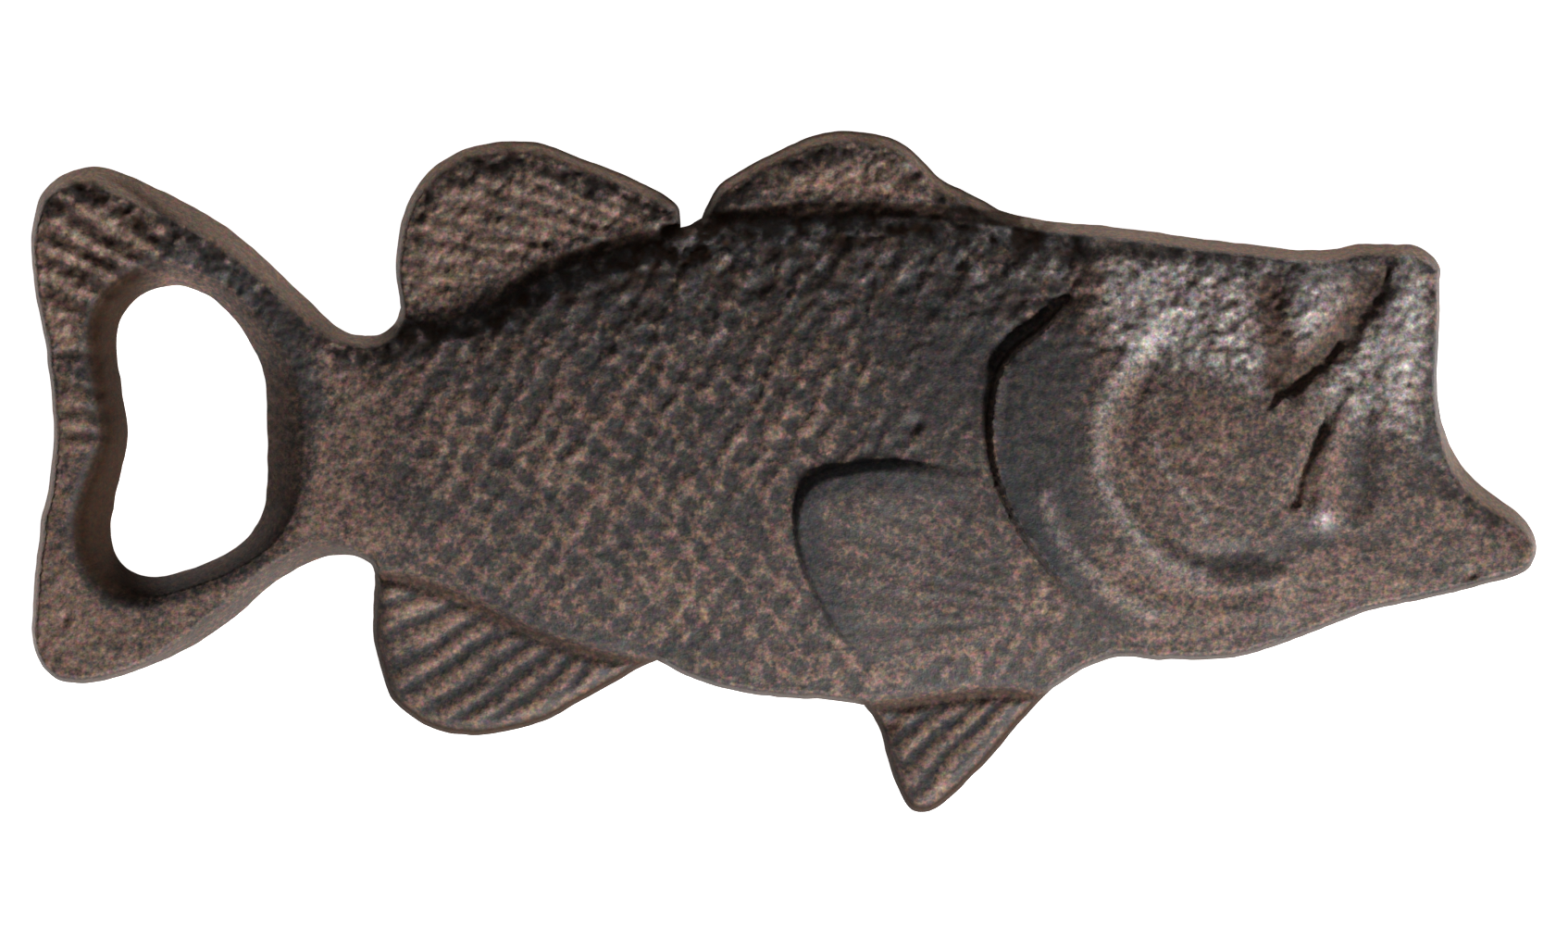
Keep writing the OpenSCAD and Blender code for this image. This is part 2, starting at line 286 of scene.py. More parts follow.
class Plan:
    """The casting from above: one loop of vertices for each region, shared along shared creases."""

    def __init__(self, nodes):
        self.points, self.loops, self.owners = [], {}, {}
        loops, points = back_loops(nodes)
        beside = {}
        for loop in loops.values():
            for a, b in zip(loop, loop[1:] + loop[:1]):
                beside.setdefault(a, set()).add(b)
                beside.setdefault(b, set()).add(a)
        # A corner is a point where creases meet each other or the outline
        corners = {v for v, others in beside.items() if len(others) != 2}
        numbers = {}
        for node, loop in loops.items():
            turn = next(i for i, v in enumerate(loop) if v in corners)
            self.loops[node] = self.add_loop(node, loop[turn:] + loop[:turn + 1], points, corners,
                                             numbers)
        self.points = np.array(self.points)
        # A free edge belongs to one region only: it is on the outline or round the opening
        free = {a: b for (a, b) in self.owners if (b, a) not in self.owners}
        self.outer = followed(free, min(free, key=lambda v: self.points[v][0]))
        ring = set(self.outer)
        self.opening = followed(free, next(v for v in free if v not in ring))
        self.free = np.array(list(free.items()))
        self.shares = np.bincount(np.concatenate(list(self.loops.values())))
        self.outward = self.free_normals()
        # The free edges wander as a sand mould leaves them, but not where a crease ends
        corners = self.points[self.free[self.shares[self.free[:, 0]] > 1, 0]]
        gap = np.linalg.norm(self.points[:, None] - corners, axis=2).min(1)
        self.room = smoothstep(0, CORNER_ROOM, gap)[:, None]
        x, y = self.points.T
        depth = EDGE_WANDER * np.clip(0.5 + 0.5 * rough_noise(x, y, 2.6, 11), 0, 1)
        self.points = self.inset(slice(None), depth[:, None])

    def add_loop(self, node, loop, points, corners, numbers):
        """Resamples a loop chain by chain, each chain once for both of its regions."""
        ring, start = [], 0
        for i in range(1, len(loop)):
            if loop[i] not in corners:
                continue
            chain = tuple(loop[start:i + 1])
            start = i
            if chain[::-1] in numbers:
                made = numbers[chain[::-1]][::-1]
            else:
                made = self.add_chain(smooth_line(points[list(chain)], SPACING), chain, numbers)
                numbers[chain] = made
            ring += made[:-1]
            self.owners.update({edge: node for edge in zip(made, made[1:])})
        return ring

    def add_chain(self, line, chain, numbers):
        made = []
        for i, p in enumerate(line):
            corner = {0: chain[0], len(line) - 1: chain[-1]}.get(i)
            if corner in numbers:
                made.append(numbers[corner])
                continue
            made.append(len(self.points))
            self.points.append(p)
            if corner is not None:
                numbers[corner] = made[-1]
        return made

    def free_normals(self):
        """The outward direction at each vertex of a free edge, and zero at the others."""
        along = self.points[self.free[:, 1]] - self.points[self.free[:, 0]]
        out = np.column_stack([along[:, 1], -along[:, 0]])
        out /= np.linalg.norm(out, axis=1)[:, None]
        normals = np.zeros_like(self.points)
        np.add.at(normals, self.free[:, 0], out)
        np.add.at(normals, self.free[:, 1], out)
        return normals / np.maximum(np.linalg.norm(normals, axis=1), 1e-9)[:, None]

    def inset(self, which, depth):
        """Vertices of the plan drawn in from the free edges, but not at a crease's end."""
        return self.points[which] - depth * self.room[which] * self.outward[which]

    def edge(self, xy, ring):
        """Distance to a free edge, and how far that edge faces the fish's back."""
        after = ring[1:] + ring[:1]
        gap, which = nearest(xy, self.points[ring], self.points[after])
        return gap, self.outward[np.array(ring)[which], 1]


def scattered(low, high, spacing, keep_off, clearance):
    """An uneven triangular grid of points, clear of some others."""
    random = np.random.default_rng(7)
    rows = np.arange(low[1], high[1], spacing * math.sqrt(0.75))
    columns = np.arange(low[0], high[0], spacing)
    x = columns[None, :] + spacing / 2 * (np.arange(len(rows))[:, None] % 2)
    xy = np.column_stack([x.ravel(), np.repeat(rows, len(columns))])
    xy += random.uniform(-JITTER, JITTER, xy.shape) * spacing
    cell = clearance / 2
    size = np.ceil((np.array(high) - low) / cell).astype(int) + 8
    blocked = np.zeros(size, bool)
    marks = np.floor((keep_off - low) / cell).astype(int) + 4
    for i in range(-2, 3):
        for j in range(-2, 3):
            if i * i + j * j < 6:
                blocked[tuple(np.clip(marks + (i, j), 0, size - 1).T)] = True
    cells = np.floor((xy - low) / cell).astype(int) + 4
    return xy[~blocked[tuple(np.clip(cells, 0, size - 1).T)]]


def triangulated(points, loops):
    """Triangles within some closed loops: the vertices, the triangles, the loops that each triangle
    lies in, and for each given point the vertex that it became."""
    made = delaunay_2d_cdt([Vector(p) for p in points], [], loops, 1, 1e-5, True)
    vertices = np.array([tuple(v) for v in made[0]])
    kept = [i for i, over in enumerate(made[5]) if over]
    triangles = np.array([made[2][i] for i in kept])
    within = np.zeros((len(loops), len(kept)), bool)
    for column, i in enumerate(kept):
        within[made[5][i], column] = True
    became = np.full(len(points), -1)
    for vertex, given in enumerate(made[3]):
        became[given] = vertex
    return vertices, triangles, within, became


# ---------------------------------------------------------------- the cast relief

class CadHeights:
    """The height of the CAD regions, blurred so that their steps become fillets."""
    PITCH = 0.4
    MARGIN = 4.0

    def __init__(self, nodes):
        corners = np.concatenate([cad_triangles(n) for n in nodes if n not in PLATES]).reshape(-1, 3)
        tree = BVHTree.FromPolygons(corners.tolist(), np.arange(len(corners)).reshape(-1, 3).tolist())
        tail_end, tail_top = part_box("tail_root")[1].x / MM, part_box("tail_root")[1].z / MM
        self.low = corners[:, :2].min(0) - self.MARGIN
        count = np.ceil((corners[:, :2].max(0) + self.MARGIN - self.low) / self.PITCH).astype(int)
        height = np.zeros(count)
        for i, j in np.ndindex(*count):
            x, y = self.low + np.array((i, j)) * self.PITCH
            hit = tree.ray_cast((x, y, 50), (0, 0, -1))[0]
            if hit is not None:
                height[i, j] = tail_top if x < tail_end else hit.z
        self.height = height

    def at(self, xy, blur):
        """The height at some points, blurred as far as is said."""
        known = blurred((self.height > 0).astype(float), blur / self.PITCH)
        h = blurred(self.height, blur / self.PITCH) / np.maximum(known, 1e-6)
        u, v = ((xy - self.low) / self.PITCH).T
        i, j = np.floor(u).astype(int), np.floor(v).astype(int)
        u, v = u - i, v - j
        return ((h[i, j] * (1 - u) + h[i + 1, j] * u) * (1 - v)
                + (h[i, j + 1] * (1 - u) + h[i + 1, j + 1] * u) * v)


def ridges(phase, width=0.5):
    """1 along the lines where the phase is whole, and 0 between them."""
    away = np.abs(phase - np.round(phase)) * 2
    return smoothstep(width, 0.05, away)


def fan(xy, root, distance, pitch):
    """Phase across rays that spread from a root, which lie a pitch apart at some distance."""
    return np.arctan2(xy[:, 1] - root[1], xy[:, 0] - root[0]) * distance / pitch


class Relief:
    """The casting's upper surface: a height, and masks of the finish and of painted shade, glints and wall
    light, at every point.
    """

    def __init__(self, xy, plan, inside):
        self.xy, self.plan, self.inside = xy, plan, inside
        self.x, self.y = xy.T
        cad = CadHeights(plan.loops)
        wrist = bell(self.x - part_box("tail_root")[1].x / MM, 2 * WRIST)
        self.high = cad.at(xy, FILLET) * (1 - wrist) + cad.at(xy, WRIST) * wrist
        self.grey = np.zeros(len(xy))       # smooth dark graphite, and painted shade on the upper flank, in creases and grooves, along edges and round the opening
        self.worn = np.zeros(len(xy))       # raised and rubbed to a lighter brown
        self.wall = np.zeros(len(xy))       # lacquered side wall, painted lighter as if lit by light bounced from the floor
        self.painted_shade = np.zeros(len(xy))       # painted shade: dark brown in creases, grooves, pits, the opening and on slopes turned from the lamps
        self.bare_and_glint = np.zeros(len(xy))       # rubbed down to bright bare iron, and painted glints
        self.pectoral = self.within("pectoral_fin")
        self.scales()
        self.fin_creases()
        self.fin_rays()
        self.gill()
        self.head()
        self.pectoral_fin()
        self.pits()
        self.grain()
        self.side_walls()
        self.opening()

    def within(self, node):
        """Signed distance to a region's outline, positive inside."""
        ring = self.plan.loops[node]
        gap = nearest(self.xy, self.plan.points[ring], self.plan.points[ring[1:] + ring[:1]])[0]
        return np.where(self.inside[node], gap, -gap)

    def scales(self):
        """A net of ridges between the scales, in two slanting sets of rows."""
        x, y = self.x, self.y
        drift = 0.4 * value_noise(x, y, 11, 21) + 0.2 * value_noise(x, y, 2.8, 22)
        drift += 0.1 * value_noise(x, y, 1.1, 24)
        rise = math.radians(60)
        fall = math.radians(-47)
        up = ridges((x * math.sin(rise) - y * math.cos(rise)) / SCALE_PITCH + drift, 0.8)
        down = ridges((x * math.sin(fall) - y * math.cos(fall)) / SCALE_PITCH - drift, 0.8)
        front = smoothstep(-8, 12, x + 0.5 * y)
        net = 0.5 * np.maximum(up, down * (1 - 0.45 * front)) + 0.6 * up * down
        net = net * (0.9 + 0.5 * rough_noise(x, y, 2.4, 25)) + 0.28 * rough_noise(x, y, 1.3, 28)
        net = np.clip(net, 0, 1.2)
        trunk = self.within("trunk")
        smooth = bell(np.hypot((x - SMOOTH_PATCH[0]) / 5, (y - SMOOTH_PATCH[1]) / 9), 1.0)
        shown = smoothstep(0.2, 2.2, trunk) * smoothstep(-46, -34, x) * (1 - 0.85 * smooth)
        shown *= smoothstep(0.6, -0.6, self.pectoral) * (1 - 0.5 * smoothstep(18, 30, x) * (y < 0))
        self.high += SCALE_RISE * shown * (net - 0.45) * (0.35 + 0.65 * smoothstep(-12, 8, y))
        self.worn += 0.6 * shown * (net - 0.45)
        self.grey += 0.45 * shown * smoothstep(0.4, 0.1, net)
        # Painted shade darkens the upper flank, with dark blotches of painted shade and bright grains of
        # bare iron and painted glints near the back
        self.grey += 0.25 * shown * smoothstep(6, 18, y)
        blotches = rough_noise(x, y, 1.5, 29)
        self.painted_shade += 0.5 * shown * smoothstep(4, 22, y) * smoothstep(-0.05, -0.5, blotches)
        self.bare_and_glint += 0.3 * shown * smoothstep(4, 22, y) * smoothstep(0.5, 1, blotches)
        self.grey += 0.7 * smooth * (trunk > 0)

    def fin_creases(self):
        """The bank below each dorsal fin, and the valley along each lower fin, with painted shade along the
        banks and in the valleys.
        """
        for node in ("soft_dorsal_fin", "spiny_dorsal_fin"):
            across = self.within(node)
            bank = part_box(node)[1].z / MM + 0.1 - BANK_SLOPE * np.minimum(across, 0)
            bank -= BANK_STEEPER * np.minimum(across + BANK_FOOT, 0)
            over = self.high - bank
            self.high -= 0.5 * (over + np.sqrt(over ** 2 + 0.05)) * (across > -REACH)
            # Painted shade: a dark brown strip along each dorsal fin's crease, and dark lumpy skin on the
            # bank
            strip = smoothstep(-1.7, -1.1, across) * smoothstep(0.5, 0, across)
            self.painted_shade += 0.7 * strip * smoothstep(-34, -26, self.x)
            self.rough(smoothstep(-6, -2.5, across) * smoothstep(-1.1, -1.7, across))
        for node in ("anal_fin", "pelvic_fin"):
            across = self.within(node)
            valley = 0.8 * bell(across - 0.35, 0.75)
            self.high -= valley + 0.2 * smoothstep(0, -2.2, across) * bell(across, 4)
            # Painted shade in each lower fin's valley, and beside it on the fin
            self.painted_shade += 0.75 * bell(across - 0.2, 0.7)
            self.grey += 0.35 * bell(across + 1.2, 0.8)

    def rough(self, share):
        """Lumpy skin where the casting faces the fish's back, darkened with painted shade and with painted
        glints as bright grains.
        """
        lumps = rough_noise(self.x, self.y, 1.2, 75)
        self.high += 0.18 * share * lumps
        self.grey += 0.95 * share * smoothstep(0.55, -0.3, lumps)
        self.painted_shade += 0.6 * share * smoothstep(0.3, -0.4, lumps)
        self.bare_and_glint += 0.35 * share * smoothstep(0.2, 0.8, lumps)

    def fin_rays(self):
        """Rays on the fins and the tail, each set with its rise, contrast, brown and where it shows."""
        xy, x, y = self.xy, self.x, self.y
        slant = 0.6 * smoothstep(9, 24, y)
        tail_phase = (y + slant * (x + 75)) / (2.6 + 0.6 * smoothstep(8, 20, y))
        tail_rays = smoothstep(-1, 6, y) * smoothstep(-62, -69, x)
        for node, phase, rise, contrast, brown, shown in (
                ("soft_dorsal_fin", fan(xy, (4, 18.5), 36, 2.1), 0.15, 0.8, 0.4, 1),
                ("spiny_dorsal_fin", fan(xy, (14, -2), 34, 3.0), 0.07, 0.3, 0.6, 1),
                ("anal_fin", fan(xy, (1, 2), 40, 2.5), 0.2, 1.1, 0.1, 1),
                ("pelvic_fin", fan(xy, (35, -12), 25, 2.3), 0.2, 1.1, 0.1, 1),
                ("tail_upper_lobe", tail_phase, 0.6, 1.5, 0.2, tail_rays),
                ("cap_lip", tail_phase, 0.35, 1.2, 0.2, tail_rays)):
            shown = shown * smoothstep(0.4, 2.0, self.within(node))
            if node in TAIL:
                shown = shown * np.where(self.inside[node], 1, 0)
            wobble = 0.17 * value_noise(x, y, 4, 31) + 0.06 * value_noise(x, y, 1.2, 32)
            rays = ridges(phase + wobble, 0.9) * (0.8 + 0.2 * rough_noise(x, y, 3.5, 33))
            self.high += rise * shown * (rays - 0.5)
            self.worn += shown * (contrast * (rays - 0.4) + brown)
            # Painted shade darkens the grooves between the rays
            groove = 0.42 * contrast * shown * smoothstep(0.35, 0.0, rays)
            if node in ("anal_fin", "pelvic_fin"):
                self.grey += 1.3 * groove
            else:
                self.painted_shade += groove

    def line(self, height, widths, *points):
        """A ridge, or a groove if the height is negative, along a curve. It has a width on each side."""
        gap = from_line(self.xy, *points)
        shape = bell(gap, np.where(gap > 0, *widths))
        self.high += height * shape
        return shape

    def gill(self):
        """The gill cover's sharp rear edge with a painted shadow along it, and the ridges and grooves round
        the cheek with bright bare iron and painted glints on the ridges.
        """
        cover = self.within("gill_cover")
        step = smoothstep(-0.35, 0.3, cover) - smoothstep(-1.6, 1.6, cover)
        rear = smoothstep(32, 27, self.x)
        ragged = 1 + 0.25 * rough_noise(self.x, self.y, 1.8, 45)
        self.high += 1.8 * step * rear * smoothstep(4, 1.6, np.abs(cover)) * ragged
        # Painted shadow: dark brown along the cover's rear edge
        self.painted_shade += 0.6 * rear * bell(cover + 0.1, 0.45) * smoothstep(-8, 0, self.y)
        # The groove from the nape down to the cover's rear edge
        self.line(-0.8, (1.2, 0.9), (30, 18.3), (27, 15.8), (24.2, 13.8), (22.5, 11.5))
        # The ridge round the back of the cheek, with a groove and a short ridge in front of it
        ridge = self.line(0.38, (1.2, 1.2), (40, 17), (37, 12.5), (34.5, 9), (33.3, 5), (33.3, 1),
                          (34.5, -2.5), (37, -6), (40, -9), (44, -10.5))
        self.line(-0.3, (0.9, 1.4), (39.5, 11.5), (37.2, 7.5), (36.4, 3), (37, -1), (38.6, -4.2),
                  (41.5, -7.3), (45, -8.7), (49, -8.4))
        inner = self.line(0.25, (0.6, 0.6), (39, 4), (40, 1), (41.4, -1), (43, -3), (44.6, -4.8))
        # The ridge along the cover's lower edge, and a shallow groove in front of it
        lower = self.line(0.3, (1, 1), (27.6, -2.5), (29, -6.3), (31.5, -9.5), (34.5, -12.3),
                          (38.5, -14.7))
        self.line(-0.2, (0.9, 0.9), (37, -10.5), (41, -12.7), (46, -13.4), (52, -12.4))
        # The dark band inside the rear edge, and painted shade as a dark line along the lower part of that
        # edge
        band = smoothstep(0, 1.2, cover) * smoothstep(10.5, 7, cover) * smoothstep(34, 30, self.x)
        self.grey += 0.8 * band * smoothstep(18, 13, self.y) * (1 - 0.7 * ridge) * (1 - 0.8 * lower)
        lower_edge = from_line(self.xy, (23.8, -1), (25.6, -5.5), (29.5, -11.2), (35, -16))
        self.grey += 0.55 * bell(lower_edge, 1.3)
        # Bright bare iron and painted glints on the ridges round the cheek
        self.bare_and_glint += 0.45 * ridge + 0.3 * lower + 0.35 * inner

    def head(self):
        """The eye, the pits and grooves round it, the snout, the mouth and the rough forehead, with painted
        shade in the pits, grooves and mouth and painted glints on the forehead, eye, knob and snout.
        """
        x, y = self.x, self.y
        cheek = self.within("cheek")
        self.high += 0.4 * smoothstep(-1, 8, cheek)
        eye = bell(np.hypot((x - EYE[0]) / 2.6, (y - EYE[1]) / 3.6), 1.0)
        self.high += 0.35 * smoothstep(-0.5, 1, self.within("eye")) + 0.7 * eye
        # The hollow behind the eye, and the groove in front of it with its sharper lower end
        pit = self.line(-0.6, (1.5, 1.5), (51.5, 19.5), (51.8, 16), (52.4, 12.5), (52.6, 10.5))
        groove = self.line(-0.8, (1.2, 2.6), (63.4, 19.5), (61.4, 16.6), (58.6, 13.1), (54, 8.9))
        self.line(-0.4, (0.4, 0.8), (58.8, 13.4), (57.5, 12), (56, 10.6), (54, 8.9))
        # The ridge from the eye to the mouth, with a knob at its end and a groove on each side
        ridge = self.line(0.6, (1.6, 1.0), (60.4, 8), (58.6, 4.8), (57.3, 0.5), (56.8, -4))
        knob = bell(np.hypot(x - KNOB[0], y - KNOB[1]), 1.6)
        self.high += 0.5 * knob
        self.line(-0.75, (0.45, 0.8), (57.2, 4.8), (55.8, 2), (54.7, -0.6), (54.2, -3.2))
        self.line(-0.55, (1.3, 1.6), (62.6, 12.5), (61.8, 7), (61.3, 2), (61, -3.2))
        # The snout, the mouth, and the groove along the lower jaw's edge
        snout = self.line(0.45, (2.2, 2.2), (66.2, 22), (65.6, 17), (65.2, 12))
        mouth = self.line(-0.15, (1.6, 1.3), (44, -9.6), (51, -9.3), (54.5, -7.1), (59, -6.8), (63, -7))
        self.line(-0.3, (0.8, 1.4), (69, 0.8), (71.5, -2), (75, -4.8), (78.3, -7.4))
        # The forehead, rough, with painted glints on it
        top = smoothstep(31, 36, x) * smoothstep(70, 66, x) * smoothstep(23.5, 21.5, y)
        top *= smoothstep(7, 13, y + 0.3 * (x - 46))
        lumps = rough_noise(x, y, 0.8, 41)
        self.high += 0.06 * top * lumps
        glinting = np.clip(top * (0.8 + 0.6 * lumps) + 0.6 * eye + 0.8 * knob + 0.8 * snout, 0, 1)
        # Painted shade in the hollow and the groove, and bright bare iron and painted glints on the
        # forehead, the eye, the knob and the snout
        sunk = np.clip(1.3 * pit + 1.3 * groove, 0, 1)
        self.high += 0.2 * sunk * rough_noise(x, y, 1.7, 43)
        self.worn += 0.2 * ridge
        self.bare_and_glint += 0.8 * glinting * (1 - sunk)
        self.painted_shade += 0.5 * sunk
        # Painted shade along the mouth, the snout's edge and the groove in front of the ridge
        self.grey += 0.4 * mouth
        self.grey += 0.6 * bell(from_line(self.xy, (69, 14), (68.8, 7), (68.6, 1)), 1.0)
        self.grey += 0.5 * bell(from_line(self.xy, (61.5, 8), (61.2, 2), (61, -3)), 1.2)

    def pectoral_fin(self):
        """The fin stands up at its rear and runs out into the trunk towards the gill cover."""
        x, y, within = self.x, self.y, self.pectoral
        stands = 1 - 0.92 * smoothstep(5, 19, x - 0.35 * y - 3)
        run = 0.5 + 0.7 * smoothstep(-6, -1, y)
        rise = 0.65 + 0.5 * smoothstep(-8, -2, y)
        self.high += rise * stands * np.clip(within / run, 0, 1) ** 0.7
        rays = ridges(fan(self.xy, (33, -15), 20, 2.4) + 0.2 * value_noise(x, y, 2.5, 51), 0.9)
        shown = smoothstep(0.5, 2.5, within)
        self.high += 0.07 * shown * (rays - 0.5)
        self.worn += 0.2 * shown * (rays - 0.7)
        self.grey += 0.25 * shown
        border = smoothstep(-0.3, 0.2, within) * smoothstep(4, 1.4, within) * stands
        self.grey += 0.95 * border

    def pits(self):
        for px, py, radius, depth in PITS:
            self.high -= depth * bell(np.hypot(self.x - px, self.y - py), radius)

    def grain(self):
        """The uneven skin that sand leaves on a casting."""
        x, y = self.x, self.y
        calm = 1 - 0.55 * np.clip(self.grey, 0, 1)
        calm *= 0.55 + 0.4 * smoothstep(-8, 3, y) + 1.3 * smoothstep(4, 20, y)
        self.worn += 0.35 * smoothstep(-38, -50, x)
        self.high += calm * (0.07 * rough_noise(x, y, 1.3, 61, 2) + 0.05 * rough_noise(x, y, 3.5, 64, 2))
        self.high += 0.06 * calm * value_noise(x, y, 0.62, 67)
        nape = smoothstep(13, 22, y) * smoothstep(-30, -10, x) * smoothstep(40, 30, x)
        lumps = rough_noise(x, y, 1.9, 69, 2)
        self.high += 0.26 * nape * lumps
        # Bright bare iron and painted glints on the nape's lumps
        self.bare_and_glint += 0.4 * nape * smoothstep(5, 20, x) * smoothstep(0.1, 0.8, lumps)

    def side_walls(self):
        """The walls round the outline and the shoulders that sink towards them, with the walls painted
        lighter as if lit by the floor, and painted shade along their borders.
        """
        x, y = self.x, self.y
        depth, facing = self.plan.edge(self.xy, self.plan.outer)
        back = np.clip(facing, 0, 1)
        run = WALL_RUN + WALL_RUN_BACK * back
        run += 1.3 * back * smoothstep(-46, -52, x) * smoothstep(-78, -70, x)
        run += 1.15 * smoothstep(-70, -60, x) * smoothstep(-44, -50, x) * (y < 0)
        run += 0.7 * bell(np.hypot(x - 74.5, y + 1.5), 5)
        sink = SHOULDER_DROP * (0.15 + 1.35 * back)
        top = self.high - sink * bell(np.maximum(depth - run, 0), SHOULDER)
        climb = np.clip(depth / run, 0, 1.4)
        share = climb - 0.16 * smoothstep(0.72, 1.28, climb) - np.maximum(climb - 1.16, 0)
        share = np.clip(share, 0, 1)
        self.high = PARTING + (top - PARTING) * share
        # The walls are painted lighter brown, as if lit by light bounced from the floor, most where they
        # face the fish's back
        self.wall = smoothstep(1.05, 0.85, climb) * (0.1 + 0.9 * back)
        # Painted shade darkens the wall and its edge where they face away from the fish's back
        below = smoothstep(1.5, 0.9, climb) * np.clip(-facing, 0, 1)
        self.grey += 0.7 * below
        self.painted_shade += 0.55 * below
        # A band of lumpy skin with painted shade and painted glints inside the edges that face the fish's
        # back
        band = smoothstep(run, run + 0.4, depth) * smoothstep(run + 3.4, run + 1.4, depth) * back
        self.rough(0.8 * band * (1 - 0.8 * np.clip(self.bare_and_glint, 0, 1)))

    def opening(self):
        """The opening's sloped wall above its upright land, and the rim that sinks into it, with painted
        shade round the rim and down the sloped wall.
        """
        x, y = self.x, self.y
        land, rim = self.opening_gaps()
        slope = np.clip(land / np.maximum(land + rim, 1e-6), 0, 1)
        in_slope = self.slope_zone()
        left, upper = smoothstep(-64, -70, x), smoothstep(2, 8, y)
        self.high -= (0.25 + 0.4 * left) * bell(rim, 0.7)
        ramp = LIP_LAND + (self.high - LIP_LAND) * slope ** 0.9 + 0.05 * rough_noise(x, y, 2.2, 71, 2)
        self.high = np.where(in_slope, np.minimum(ramp, self.high), self.high)
        self.wall = np.where(in_slope, 0.0, self.wall)
        beyond = np.where(in_slope, rim, np.maximum(rim - 0.6, 0))
        # Painted shade round the rim, darker on the left, and dark brown painted shade down the sloped wall
        # and along the left rim
        self.grey += (0.35 + 0.35 * left) * bell(beyond, 0.9)
        self.grey += ~in_slope * 0.6 * (1 - left) * upper * bell(rim - 1.4, 1.4)
        self.painted_shade = np.maximum(self.painted_shade, in_slope * smoothstep(-0.3, 0.3, rim) * (0.4 + 0.6 * left))
        self.painted_shade = np.clip(np.maximum(self.painted_shade, 0.95 * left * bell(rim, 0.7)), 0, 1)

    def opening_gaps(self):
        """Distances to the opening's outline and to the rim where its wall meets the tail's face."""
        plan = self.plan
        land = plan.edge(self.xy, plan.opening)[0]
        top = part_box("tail_root")[1].z / MM - 0.01
        starts, ends = [], []
        for node in TAIL:
            triangles = cad_triangles(node)
            slope = slopes(triangles)
            sloped = triangles[(slope > 0.05) & (slope < 0.99)]
            for i in range(3):
                a, b = sloped[:, i], sloped[:, (i + 1) % 3]
                high = (a[:, 2] > top) & (b[:, 2] > top)
                starts.append(a[high, :2])
                ends.append(b[high, :2])
        self.rim_starts = np.concatenate(starts)
        return land, nearest(self.xy, self.rim_starts, np.concatenate(ends))[0]

    def slope_zone(self):
        """Whether a point lies between the opening's outline and its rim: it does if it is nearer to
        the middle of the opening than the rim is, in its own direction."""
        middle = self.rim_starts.mean(0)
        spoke = self.rim_starts - middle
        angle = np.arctan2(spoke[:, 1], spoke[:, 0])
        order = np.argsort(angle)
        reach = np.linalg.norm(spoke, axis=1)[order]
        offset = self.xy - middle
        own = np.interp(np.arctan2(offset[:, 1], offset[:, 0]), angle[order], reach,
                        period=2 * math.pi)
        return np.linalg.norm(offset, axis=1) < own


# ---------------------------------------------------------------- the pieces

def skin(plan, outlines):
    """The points and the closed loops that the casting's upper surface is triangulated from."""
    names = list(plan.loops)
    roomy = [v for v in plan.free[:, 0] if plan.room[v] > 0.95]
    rings = [plan.inset(roomy, depth) for depth in RINGS]
    fixed, loops = [plan.points], [plan.loops[n] for n in names]
    count = len(plan.points)
    for outline in outlines.values():
        loops.append(list(range(count, count + len(outline))))
        fixed.append(outline)
        count += len(outline)
    plan.points = np.vstack(fixed)
    plan.loops.update(zip(outlines, loops[len(names):]))
    keep_off = np.vstack([plan.points, *rings])
    inner = scattered(plan.points.min(0), plan.points.max(0), SPACING, keep_off, SPACING * 0.55)
    return np.vstack([keep_off, inner]), loops


def quads(a, b, c, d):
    """Two triangles for each a, b, c, d."""
    return np.concatenate([np.column_stack([a, b, c]), np.column_stack([a, c, d])])


